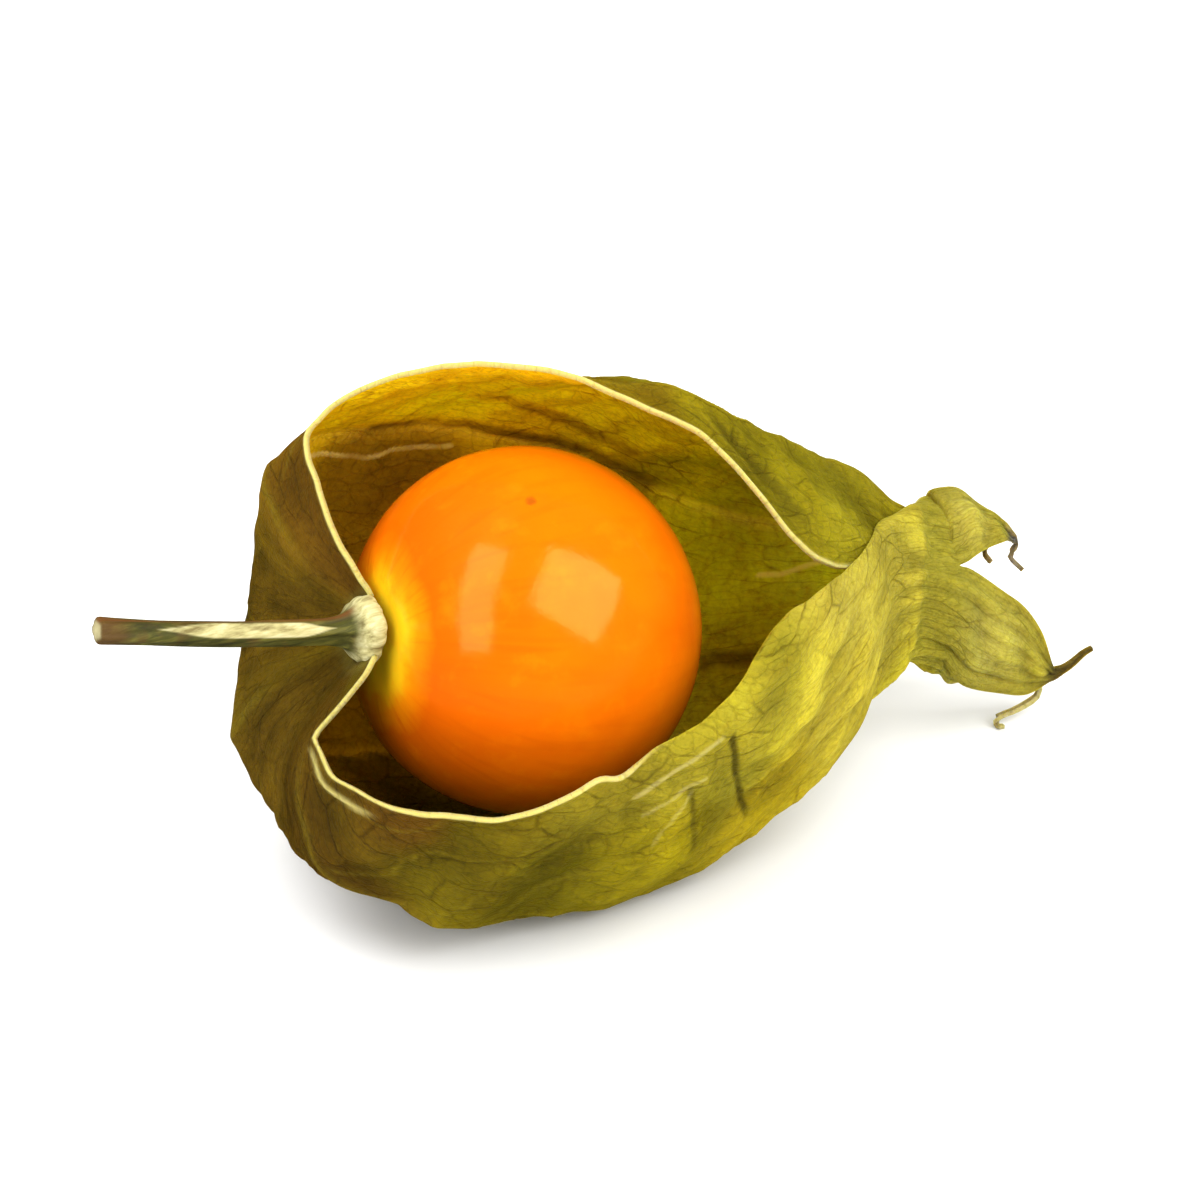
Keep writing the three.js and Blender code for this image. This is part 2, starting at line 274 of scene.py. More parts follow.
finish = Finish("berry skin")
place = finish.add("ShaderNodeTexCoord").outputs["Object"]
around = finish.add("ShaderNodeUVMap", uv_map="UVMap").outputs[0]
stem_way = finish.attribute("from_stem")
ripe = finish.add("ShaderNodeTexNoise", {
    "Vector": place, "Scale": 150.0, "Detail": 3.0, "Roughness": 0.55})
mottle = finish.add("ShaderNodeTexNoise", {
    "Vector": place, "Scale": 520.0, "Detail": 4.0, "Roughness": 0.6})
streaks = finish.add("ShaderNodeTexNoise", {
    "Vector": finish.stretched(around, (70, 5, 1)), "Scale": 1.0, "Detail": 3.0, "Distortion": 0.5})
waver = finish.math("MULTIPLY_ADD", ripe.outputs["Fac"], 0.09, -0.045)
fine_waver = finish.math("MULTIPLY_ADD", mottle.outputs["Fac"], 0.05, -0.025)
zone = finish.math("ADD", finish.math("ADD", stem_way, waver), fine_waver)
flesh = finish.ramp(
    zone, (0.06, (0.70, 0.46, 0.010)), (0.10, (0.88, 0.48, 0.006)), (0.135, (0.86, 0.24, 0.002)),
    (0.18, (0.71, 0.112, 0.001)), (0.28, (0.795, 0.133, 0.001)), (0.42, (0.90, 0.165, 0.001)),
    (0.72, (0.92, 0.178, 0.001)), (0.97, (0.80, 0.135, 0.001)))
streak_share = finish.math(
    "MULTIPLY", finish.ramp(streaks.outputs["Fac"], (0.5, 0.0), (0.74, 1.0)),
    finish.ramp(stem_way, (0.09, 0.0), (0.17, 0.8), (0.55, 0.12)))
streaked = finish.mix(streak_share, flesh, (0.66, 0.10, 0.001, 1))
lighter = finish.ramp(mottle.outputs["Fac"], (0.55, 0.0), (0.8, 0.4))
blushed = finish.mix(lighter, streaked, (0.98, 0.247, 0.002, 1))
riper = finish.ramp(ripe.outputs["Fac"], (0.30, 0.6), (0.52, 0.0))
deep = finish.mix(riper, blushed, (0.76, 0.115, 0.001, 1))
speck = finish.ramp(finish.attribute("from_speck"), (0.22, 0.75), (0.42, 0.0))
skin = finish.mix(speck, deep, (0.30, 0.07, 0.004, 1))
skin = finish.mix(finish.ramp(stem_way, (0.981, 0.0), (0.989, 1.0)), skin, (0.10, 0.045, 0.012, 1))
wax = finish.ramp(mottle.outputs["Fac"], (0.3, 0.11), (0.75, 0.17))
pores = finish.add("ShaderNodeTexVoronoi", {"Vector": place, "Scale": 3600.0})
dimpled = finish.add("ShaderNodeBump", {
    "Height": pores.outputs["Distance"], "Strength": 0.06, "Distance": 0.00006})
uneven = finish.add("ShaderNodeBump", {
    "Height": ripe.outputs["Fac"], "Strength": 0.16, "Distance": 0.0006, "Normal": dimpled.outputs[0]})
surface = finish.add("ShaderNodeBsdfPrincipled", {
    "Base Color": skin, "Roughness": wax, "IOR": 1.42,
    "Specular IOR Level": 0.68, "Specular Tint": (1.0, 0.85, 0.25, 1),
    "Subsurface Weight": 0.2, "Subsurface Radius": (1.0, 0.30, 0.06), "Subsurface Scale": 0.0018,
    "Normal": uneven.outputs[0]})
finish.add("ShaderNodeOutputMaterial", {"Surface": surface.outputs[0]})
berry.data.materials.append(finish.material)
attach(berry, "root")
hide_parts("berry")


# ---------------------------------------------------------------- husk
# The husk is the dried calyx: one papery, veined sheet that grew round the berry with five ribs. It is
# torn open from the collar to near the tip, where its front flap laps over the back and the five sepal
# ends have dried and curled. It is a sheet bent to shape row by row and then given its thickness.
# Thickness in mm at the dry, torn rims, and the share of it that the paper between them has.
HUSK_WALL = 0.30
THIN_SHARE = 0.62
HUSK_ROWS = 160
HUSK_COLUMNS = 245
SPANS = 12
# Degrees round the axis: from rib to rib, the first rib, and how the torn sheet is wrapped at the neck.
RIB_SPACING = 72
HALF_SPACING = 36
FIRST_RIB = 54
WRAPPED_SPACING = 86.2
WRAP_START = 6
NECK_TILT = 57
# Distance along the axis in mm (below zero, a share of the depth of the base) and radius, in equal spans.
MERIDIAN = [
    (-0.24, 1.75), (-0.5, 3.0), (-0.93, 5.6), (-1.0, 8.9), (-0.45, 12.5), (2.8, 14.5), (8.5, 14.55),
    (14.5, 13.75), (20.5, 11.45), (25.5, 8.65), (29.0, 6.1), (32.0, 4.2), (34.6, 4.35),
]
# The torn edges: span along the meridian, and degrees round the axis from the front, under the berry.
FRONT_EDGE = [
    (0, 20), (0.8, 22), (1.2, 36), (1.8, 50), (2.1, 43), (2.6, 37), (3.1, 28), (3.6, 20.5), (4.1, 16.7),
    (4.6, 14), (5.0, 10), (5.4, 4.5), (5.65, 0.2), (5.85, 2.0), (6.2, -2.5), (6.7, -8), (7.0, -16),
    (7.2, -22), (7.6, -31), (8.1, -37), (8.7, -45), (9.6, -55), (10.8, -81), (12, -118),
]
BACK_EDGE = [
    (0, 252), (0.8, 234), (1.9, 226), (3.0, 222), (3.6, 219), (4.1, 217.5), (4.5, 218.5), (4.8, 223),
    (5.1, 232), (5.4, 245), (5.7, 259), (6.1, 271), (6.4, 275), (6.7, 278.4), (6.9, 281), (7.2, 285),
    (7.4, 290), (7.6, 298), (7.8, 306), (8.0, 311.5), (8.2, 314.3), (8.5, 315.5), (8.8, 316), (9.5, 314),
    (12, 308),
]
# The span of the one sharp corner, in the front edge; the back edge has none.
FRONT_CORNER = 1.8
NO_CORNER = -9
# Where the sheet parts into the five sepal ends, in degrees on its last row.
SEPAL_PARTINGS = [-118, -47, 40, 126, 212, 308]
# Steps in mm from a torn edge inwards, closer together than the columns between them.
EDGE_STEPS = np.array([0, 0.10, 0.20, 0.33, 0.48, 0.65, 0.80, 0.95, 1.10, 1.3, 1.55])
# Folds and lines in the sheet: side, lightness, width in mm, relief in mm, and points along and round. The
# dark lines sit in grooves and are painted shade along those creases; the pale ones run along raised
# folds.
LINES = [
    ("out", 0.30, 0.15, 0.08, [(9.0, 8.5), (9.5, 7), (10.7, 3), (11.8, 0), (13.5, -5)]),
    ("out", 0.22, 0.13, 0.06, [(10.2, 15), (10.7, 13), (11.8, 9), (13.3, 6)]),
    ("out", 0.17, 0.12, 0.05, [(11.6, 24), (12.0, 17), (12.8, 10)]),
    ("out", -0.80, 0.20, -0.26, [(14.4, -4), (15.9, 8), (17.2, 19), (18.7, 30)]),
    ("out", -0.50, 0.18, -0.12, [(12.6, 9), (13.0, 12), (14.2, 23), (15.4, 34)]),
    ("out", -0.35, 0.35, -0.10, [(17.0, 275), (19.0, 288), (21.0, 300)]),
    ("in", 0.70, 0.13, 0.10, [(2.0, 194), (3.5, 193), (5.7, 192), (8.3, 193), (11.0, 194)]),
    ("in", 0.70, 0.13, 0.10, [(27.2, 160), (28, 159), (28.9, 162), (30, 165)]),
    ("in", -0.75, 0.30, -0.15, [(22, 134), (25.4, 131), (26.5, 126), (28.5, 122)]),
    ("in", -0.55, 0.45, 0.0, [(6, 199), (12, 201), (18, 199), (22, 192)]),
    ("in", -0.45, 0.40, 0.0, [(9, 217), (15, 212), (20, 205)]),
]
# Broad colours of the outside and the inside, with light and shade painted into them: the base round the
# collar and the lower outside are darkened as painted shade, a paler, greyer strip below the front rim is
# painted sheen, and the inside is lit golden at the top as a painted glow of light through the paper and
# darkened around the berry and towards the
# neck as painted shade. Columns: mm along, degrees round, then red, green and blue.
TINTS_AND_SHADE_OUT = [
    (-3, 100, 0.08, 0.045, 0.002), (-2, 20, 0.091, 0.044, 0.002), (1, 20, 0.108, 0.081, 0.001),
    (2, 38, 0.108, 0.081, 0.001), (6, 31, 0.119, 0.095, 0.001), (7.5, 6, 0.216, 0.175, 0.007),
    (9.7, 27, 0.18, 0.143, 0.001), (10.7, 2, 0.266, 0.224, 0.011), (14, 24, 0.209, 0.164, 0.001),
    (16, 10, 0.299, 0.255, 0.012), (17, -15, 0.306, 0.261, 0.013), (21, -20, 0.364, 0.304, 0.022),
    (22, -34, 0.4, 0.332, 0.039), (28, -20, 0.393, 0.325, 0.032), (20, 26, 0.364, 0.269, 0.004),
    (24, 5, 0.379, 0.304, 0.022), (30, 40, 0.362, 0.3, 0.014), (8, 90, 0.144, 0.112, 0.002),
    (18, 70, 0.209, 0.164, 0.002), (18, 120, 0.173, 0.136, 0.003), (28, 110, 0.238, 0.196, 0.006),
    (6, 150, 0.173, 0.13, 0.002), (18, 170, 0.194, 0.154, 0.003), (6, 215, 0.174, 0.123, 0.002),
    (10, 250, 0.165, 0.105, 0.002), (13, 272, 0.147, 0.094, 0.001), (16, 262, 0.165, 0.134, 0.002),
    (16, 277, 0.171, 0.134, 0.001), (18.5, 282, 0.147, 0.117, 0.001), (21, 292, 0.182, 0.148, 0.002),
    (25.3, 303, 0.23, 0.194, 0.005), (28, 280, 0.182, 0.148, 0.003), (24, 230, 0.171, 0.137, 0.004),
    (-2.5, 218, 0.1, 0.049, 0.002), (-2.5, 160, 0.085, 0.048, 0.002), (-3.5, 60, 0.066, 0.034, 0.001),
]
TINTS_GLOW_AND_SHADE_IN = [
    (3, 206, 0.777, 0.608, 0.004), (8, 211, 0.900, 0.673, 0.004), (13, 213, 0.895, 0.632, 0.004),
    (19, 211, 0.626, 0.51, 0.004), (23, 201, 0.407, 0.406, 0.005), (26, 182, 0.346, 0.384, 0.006),
    (29, 155, 0.399, 0.458, 0.03), (28, 140, 0.386, 0.414, 0.01), (26, 120, 0.245, 0.244, 0.004),
    (22, 105, 0.238, 0.231, 0.004), (5, 190, 0.175, 0.119, 0.003), (9, 186, 0.168, 0.112, 0.003),
    (16, 185, 0.238, 0.185, 0.003), (20, 165, 0.266, 0.251, 0.004), (14, 150, 0.154, 0.125, 0.003),
    (5, 130, 0.161, 0.132, 0.003), (6, 60, 0.161, 0.152, 0.004), (14, 60, 0.245, 0.245, 0.004),
    (-2, 150, 0.124, 0.099, 0.003), (-3, 60, 0.124, 0.106, 0.003), (20, 20, 0.346, 0.338, 0.02),
    (26, 60, 0.317, 0.317, 0.01), (18, 250, 0.476, 0.37, 0.004), (14, 240, 0.819, 0.568, 0.004),
    (24, 280, 0.392, 0.356, 0.01),
]


def along_curve(points, share):
    """Catmull-Rom curve through the points; share runs 0 to 1."""
    points = np.asarray(points, dtype=float)
    ends = np.concatenate([2 * points[:1] - points[1:2], points, 2 * points[-1:] - points[-2:-1]])
    x = np.clip(share, 0, 1) * (len(points) - 1)
    i = np.minimum(x.astype(int), len(points) - 2)
    f = (x - i)[..., None]
    a, b, c, d = ends[i], ends[i + 1], ends[i + 2], ends[i + 3]
    bent = (2 * a - 5 * b + 4 * c - d) * f**2
    return 0.5 * (2 * b + (c - a) * f + bent + (3 * b - a - 3 * c + d) * f**3)


def even_curve(points, count):
    """The same curve at evenly spaced places, and how far along it in mm each one lies."""
    share = np.linspace(0, 1, 400)
    run = along_curve(points, share)
    length = np.concatenate([[0], np.cumsum(np.linalg.norm(np.diff(run, axis=0), axis=1))])
    wanted = np.linspace(0, length[-1], count)
    return along_curve(points, np.interp(wanted, length, share)), wanted


def ripples(a, b, count, shortest, longest, seed):
    """Seeded waves added up over a surface measured a and b mm, about -1 to 1."""
    dice = np.random.default_rng(seed)
    total = np.zeros(np.broadcast(a, b).shape)
    for _ in range(count):
        heading = dice.uniform(0, math.pi)
        length = dice.uniform(shortest, longest)
        slope = a * math.cos(heading) + b * math.sin(heading)
        total += np.sin(2 * math.pi * slope / length + dice.uniform(0, 6.28))
    return total / math.sqrt(count)


def mm_per_degree(along):
    """How far apart two points a degree round the husk are, less towards the narrow neck."""
    return math.radians(1) * 13.0 * np.clip((38 - along) / 24, 0.35, 1.1)


def line_distance(along, angle, points):
    """Distance in mm, over the sheet, from a line given by points along and round the husk."""
    scale = mm_per_degree(along)
    near = np.full(along.shape, 99.0)
    for (a0, r0), (a1, r1) in zip(points[:-1], points[1:]):
        da, dr = a1 - a0, (r1 - r0) * scale
        pa, pr = along - a0, (angle - r0) * scale
        share = np.clip((pa * da + pr * dr) / (da * da + dr * dr), 0, 1)
        near = np.minimum(near, np.hypot(pa - share * da, pr - share * dr))
    return near


def grown_angle(angle, along):
    """The angle at which that tissue grew: near the neck the torn sheet is wrapped tighter."""
    wrapped = FIRST_RIB + (angle - WRAP_START) * (RIB_SPACING / WRAPPED_SPACING)
    shift = soft_step(along, 15, 32)
    return angle * (1 - shift) + wrapped * shift


def husk_sheet(span, angle, length, calm):
    """Places in mm of points of the sheet, with their relief and their distances from ribs and veins."""
    reach = along_curve(MERIDIAN, span / SPANS)
    along, radius = reach[..., 0].copy(), reach[..., 1].copy()
    grown = grown_angle(angle, along)
    side = (grown - FIRST_RIB + HALF_SPACING) % RIB_SPACING - HALF_SPACING
    to_rib = np.abs(side)
    rounded = np.sqrt(to_rib**2 + 16) - 4
    flattest = math.cos(math.radians(HALF_SPACING))
    flat_sided = flattest / np.cos(np.radians(HALF_SPACING - rounded))
    rib = (flat_sided - flattest) / (1 - flattest)
    depth = 3.2 + 1.9 * swell(angle, 62, 45) - 1.4 * swell(angle, 215, 50) + 0.8 * (rib - 0.5)
    along = np.where(along < 0, along * depth, along)
    rib_mm = to_rib * math.radians(1) * radius
    seam_mm = (HALF_SPACING - to_rib) * math.radians(1) * radius
    less_at_neck = 1 - 0.4 * soft_step(along, 24, 34)
    radius = radius * (1 + 0.078 * (rib - 0.38) * soft_step(span, 0, 3) * less_at_neck)
    # Raised cords run along the ribs and, lower, midway between them.
    relief = (0.22 * swell(rib_mm, 0, 0.40) + 0.10 * swell(seam_mm, 0, 0.32)) * soft_step(span, 0.6, 2.0)
    # Side veins leave the ribs towards the tip, and the tissue between them is quilted.
    wander = 0.9 * ripples(length, grown * 0.25, count=5, shortest=5, longest=12, seed=3)
    slant = length - to_rib * math.radians(1) * radius * 0.85 + wander + np.where(side > 0, 1.7, 0)
    vein_mm = np.abs((slant + 46) % 4.2 - 2.1)
    away = soft_step(rib_mm, 0.4, 1.6)
    relief = relief + soft_step(span, 2.0, 3.5) * away * (
        0.06 * swell(vein_mm, 0, 0.28) - 0.09 * np.cos(math.pi * vein_mm / 2.1) - 0.04)
    # Soft crumples, sharper small ones, and the pleats of the drawn-in base and neck.
    paper = soft_step(span, 1.6, 3.5)
    crumples = ripples(length, grown * 0.22, count=7, shortest=7, longest=15, seed=11)
    small_crumples = ripples(length, grown * 0.24, count=6, shortest=3.2, longest=7, seed=12)
    relief = relief + 0.20 * paper * crumples
    relief = relief - 0.13 * paper * np.abs(small_crumples)
    wave = ripples(length, grown * 0.2, count=4, shortest=6, longest=12, seed=5)
    relief = relief + 0.15 * np.sin(np.radians(grown) * 25 + 1.2 * wave) * soft_step(along, 24, 33)
    base = swell(span, 2.4, 1.3)
    relief = relief + 0.16 * base * np.sin(np.radians(grown) * 30 + 1.5 * wave)
    # The front flap is wrinkled across, and it ends in a band over the neck.
    flap = soft_step(-angle, -30, 0) * soft_step(along, 14, 18) * (1 - soft_step(along, 28, 32))
    relief = relief + 0.16 * flap * np.sin(0.35 * angle + 0.63 * length + 1.5 * wave)
    band_end = 32.8 - 1.6 * np.clip((angle + 110) / 160, 0, 1)
    facing = 1 - soft_step(angle, 50, 75)
    band_rim = 0.16 * swell(along, band_end - 0.5, 0.7) - 0.42 * soft_step(along, band_end, band_end + 0.7)
    relief = relief + facing * band_rim
    for side_name, light, width, height, points in LINES:
        relief = relief + height * swell(line_distance(along, angle, points), 0, width * 1.3)
    relief = relief * calm
    radius = radius + relief
    # The front flap lies over the back edge near the tip.
    radius = radius + 1.0 * soft_step(-angle, 5, 50) * soft_step(span, 7, 9)
    sag = (-0.8 + 1.6 * soft_step(along, 22, 30) - 0.9 * soft_step(along, 32, 36)) * soft_step(span, 0, 4)
    # The neck is pinched flat from front to back.
    pinch = soft_step(along, 24, 32)
    tilt = math.radians(NECK_TILT)
    wide = radius * np.cos(np.radians(angle) - tilt) * (1 + 0.06 * pinch)
    thin = radius * np.sin(np.radians(angle) - tilt) * (1 - 0.42 * pinch)
    towards = wide * math.cos(tilt) - thin * math.sin(tilt)
    down = wide * math.sin(tilt) + thin * math.cos(tilt)
    shape = np.stack([along, -towards, sag - down], axis=-1)
    return shape, {
        "along": along, "grown": grown, "rib": rib_mm, "vein": vein_mm, "relief": relief,
        "band_end": band_end}


def torn_edge(table, span, keep_sharp):
    """Angle of a torn edge at each row, rounded off except at its one sharp corner."""
    fine = np.linspace(0, SPANS, 1201)
    raw = np.interp(fine, *np.array(table).T)
    half = 40
    kernel = swell(np.arange(-half, half + 1), 0, 14)
    soft = np.convolve(np.pad(raw, half, mode="edge"), kernel / kernel.sum(), mode="valid")
    keep = swell(fine, keep_sharp, 0.45)
    return np.interp(span, fine, raw * keep + soft * (1 - keep))


# Rows at even steps along a meridian. Columns run from the front edge, under the berry, to the back
# edge, and crowd together along both edges.
share = np.linspace(0, 1, 2001)
run = along_curve(MERIDIAN, share)
run[:, 0] = np.where(run[:, 0] < 0, run[:, 0] * 4.0, run[:, 0])
run_length = np.concatenate([[0], np.cumsum(np.hypot(*np.diff(run, axis=0).T))])
row_length = np.linspace(0, run_length[-1], HUSK_ROWS + 1)
row_span = SPANS * np.interp(row_length, run_length, share)
tatter = 0.30 * ripples(row_length, 0, count=6, shortest=1.2, longest=4.5, seed=21)
tatter = tatter * soft_step(row_span, 0.8, 2.5)
front = torn_edge(FRONT_EDGE, row_span, FRONT_CORNER) + tatter * (1 - soft_step(row_span, 8, 9))
back = torn_edge(BACK_EDGE, row_span, NO_CORNER) - tatter[::-1] * (1 - soft_step(row_span, 8, 9))
coarse = np.linspace(0, 1, 301)
coarse_angle = front[:, None] + (back - front)[:, None] * coarse
coarse_sheet = husk_sheet(row_span[:, None] + 0 * coarse_angle, coarse_angle, row_length[:, None], 0.0)[0]
steps = np.linalg.norm(np.diff(coarse_sheet, axis=1), axis=2)
girth = np.concatenate([np.zeros((len(front), 1)), np.cumsum(steps, axis=1)], axis=1)
middle_count = HUSK_COLUMNS + 1 - 2 * (len(EDGE_STEPS) - 1)
angle_grid = np.empty((HUSK_ROWS + 1, HUSK_COLUMNS + 1))
for row in range(HUSK_ROWS + 1):
    whole = girth[row, -1]
    middle = np.linspace(EDGE_STEPS[-1], whole - EDGE_STEPS[-1], middle_count)
    wanted = np.concatenate([EDGE_STEPS[:-1], middle, whole - EDGE_STEPS[-2::-1]])
    angle_grid[row] = np.interp(wanted, girth[row], coarse_angle[row])
span_grid = np.repeat(row_span[:, None], HUSK_COLUMNS + 1, axis=1)
length_grid = np.repeat(row_length[:, None], HUSK_COLUMNS + 1, axis=1)
flat_sheet = husk_sheet(span_grid, angle_grid, length_grid, 0.0)[0]
steps = np.linalg.norm(np.diff(flat_sheet, axis=1), axis=2)
from_front = np.concatenate([np.zeros((len(front), 1)), np.cumsum(steps, axis=1)], axis=1)
from_back = from_front[:, -1:] - from_front
calm = 0.25 + 0.75 * soft_step(np.minimum(from_front, from_back), 0.3, 4.0)
sheet, facts = husk_sheet(span_grid, angle_grid, length_grid, calm)

# The flap's free edge, from the notch to the tip, is folded softly inwards; the torn edges turn out.
row_fold = soft_step(row_span, 5.75, 6.4) * (1 - 0.6 * soft_step(row_span, 10.5, 12))
fold = np.broadcast_to(row_fold[:, None], angle_grid.shape)
inward = -sheet * np.array((0, 1, 1))
inward /= np.linalg.norm(inward, axis=2, keepdims=True)
sheet = sheet + inward * (fold * 0.85 * np.clip(1 - from_front / 1.5, 0, 1) ** 2)[..., None]
lip = 0.16 * swell(from_front, 0, 0.6) * (1 - fold) + 0.16 * swell(from_back, 0, 0.6)
sheet = sheet - inward * (lip * soft_step(span_grid, 1.0, 2.5))[..., None]
# Low on the front edge a strip of the tissue has split off beside the edge.
fray = swell(from_front, 0.55 + 0.65 * soft_step(span_grid, 2.0, 3.4), 0.13)
fray = fray * soft_step(span_grid, 1.9, 2.2) * (1 - soft_step(span_grid, 3.3, 3.6))
sheet = sheet - inward * (0.14 * fray)[..., None]


def sheet_object(name, grid):
    """A grid primitive whose points take the places of a grid of points in mm on the fruit's axes."""
    rows, columns = grid.shape[:2]
    bpy.ops.object.select_all(action="DESELECT")
    bpy.ops.mesh.primitive_grid_add(x_subdivisions=columns - 1, y_subdivisions=rows - 1, size=1)
    piece = bpy.context.object
    piece.name = name
    move_vertices(piece, fruit_place(grid[..., 0], grid[..., 1], grid[..., 2]).reshape(-1, 3))
    return piece


def blended_tint(along, angle, tints):
    """Colour at each point of the sheet, blended from the tints nearest to it."""
    total = np.zeros(along.shape + (3,))
    weight = np.zeros(along.shape)
    scale = mm_per_degree(along)
    for tint_along, tint_angle, *colour in tints:
        distance = (along - tint_along) ** 2 + ((angle - tint_angle) * scale) ** 2
        share = 1 / (distance + 1.2) ** 2.2
        weight += share
        total += share[..., None] * np.array(colour)
    return total / weight[..., None]


def toned(base, other, amount):
    return base * (1 - amount[..., None]) + np.array(other) * amount[..., None]


def paint_colour(piece, name, colours):
    """A linear colour per vertex that the piece's material reads."""
    layer = piece.data.attributes.new(name, "FLOAT_COLOR", "POINT")
    rgba = np.ones((colours.size // 3, 4), dtype=np.float32)
    rgba[:, :3] = np.clip(colours.reshape(-1, 3), 0, 1)
    layer.data.foreach_set("color", rgba.ravel())


def paint_place(piece, name, across, beyond):
    """Two numbers per vertex that the piece's material reads as a vector."""
    layer = piece.data.attributes.new(name, "FLOAT_VECTOR", "POINT")
    pairs = np.stack([across, beyond, 0 * across], axis=-1)
    layer.data.foreach_set("vector", pairs.astype(np.float32).ravel())


def map_sheet(piece, length, grown):
    """UV map measured over the sheet: 10 mm along it and 40 degrees round it to the unit."""
    uv = np.stack([length / 10, grown / 40], axis=-1).reshape(-1, 2)
    corners = np.empty(len(piece.data.loops), dtype=np.int32)
    piece.data.loops.foreach_get("vertex_index", corners)
    layer = piece.data.uv_layers.active or piece.data.uv_layers.new(name="UVMap")
    layer.data.foreach_set("uv", uv[corners].astype(np.float32).ravel())


husk = sheet_object("husk_calyx", sheet)
along = facts["along"]
map_sheet(husk, length_grid, facts["grown"])
# The sheet's colours hold its own tones together with painted light and painted shade.
tone_and_shading_out = blended_tint(along, angle_grid, TINTS_AND_SHADE_OUT)
tone_and_shading_in = blended_tint(along, angle_grid, TINTS_GLOW_AND_SHADE_IN)
patches = ripples(length_grid, facts["grown"] * 0.22, count=7, shortest=4, longest=13, seed=31)
tone_and_shading_out = tone_and_shading_out * (1 + 0.14 * patches)[..., None]
tone_and_shading_in = tone_and_shading_in * (1 + 0.12 * patches)[..., None]
# Hollows of the relief are darkened and its raised parts lightened, as painted shade and painted light;
# ribs and side veins are drawn thinly in a deeper tone.
tone_and_shading_out = tone_and_shading_out * (1 + np.clip(facts["relief"] * 0.9, -0.28, 0.2))[..., None]
ribbed = swell(facts["rib"], 0, 0.30) * soft_step(span_grid, 1.5, 3)
tone_and_shading_out = toned(tone_and_shading_out, (0.16, 0.12, 0.006), 0.40 * ribbed)
tone_and_shading_in = toned(tone_and_shading_in, (0.62, 0.50, 0.10), 0.30 * ribbed)
veined = swell(facts["vein"], 0, 0.16) * soft_step(facts["rib"], 0.3, 0.8) * soft_step(span_grid, 3, 4)
tone_and_shading_out = toned(tone_and_shading_out, (0.22, 0.17, 0.008), 0.30 * veined)
tone_and_shading_in = toned(tone_and_shading_in, (0.16, 0.10, 0.006), 0.30 * veined)
# The lines are painted as places across and beyond each line in mm, and drawn by the material.
line_scale = mm_per_degree(along)
for number, (side_name, light, width, height, points) in enumerate(LINES):
    line_along, line_angle = np.array(points).T
    slope = np.interp(along, line_along, np.gradient(line_angle, line_along)) * line_scale
    across = (angle_grid - np.interp(along, line_along, line_angle)) * line_scale / np.hypot(1, slope)
    beyond = np.maximum(line_along[0] - along, 0) + np.maximum(along - line_along[-1], 0)
    paint_place(husk, "line_%d" % number, across, beyond)
past_band = soft_step(along, facts["band_end"], facts["band_end"] + 0.4)
past_band = past_band * (1 - soft_step(angle_grid, 50, 75))
tone_and_shading_out = toned(tone_and_shading_out, (0.25, 0.22, 0.020), 0.8 * past_band)
near_collar = 1 - soft_step(length_grid, 0.3, 1.2)
tone_and_shading_out = toned(tone_and_shading_out, (0.20, 0.16, 0.03), 0.5 * near_collar)
pale_front = (1 - soft_step(from_front, 0.08, 0.22)) * (1 - fold)
pale_back = 1 - soft_step(from_back, 0.10, 0.24)
paint_colour(husk, "tone_and_shading_out", tone_and_shading_out)
paint_colour(husk, "tone_and_shading_in", tone_and_shading_in)
paint_value(husk, "edge", np.clip(np.maximum(pale_front, pale_back) + 0.9 * fray, 0, 1))
bead = np.maximum(swell(from_front, 0, 0.28) * (1 - fold), swell(from_back, 0, 0.32))
paint_value(husk, "bead", bead)

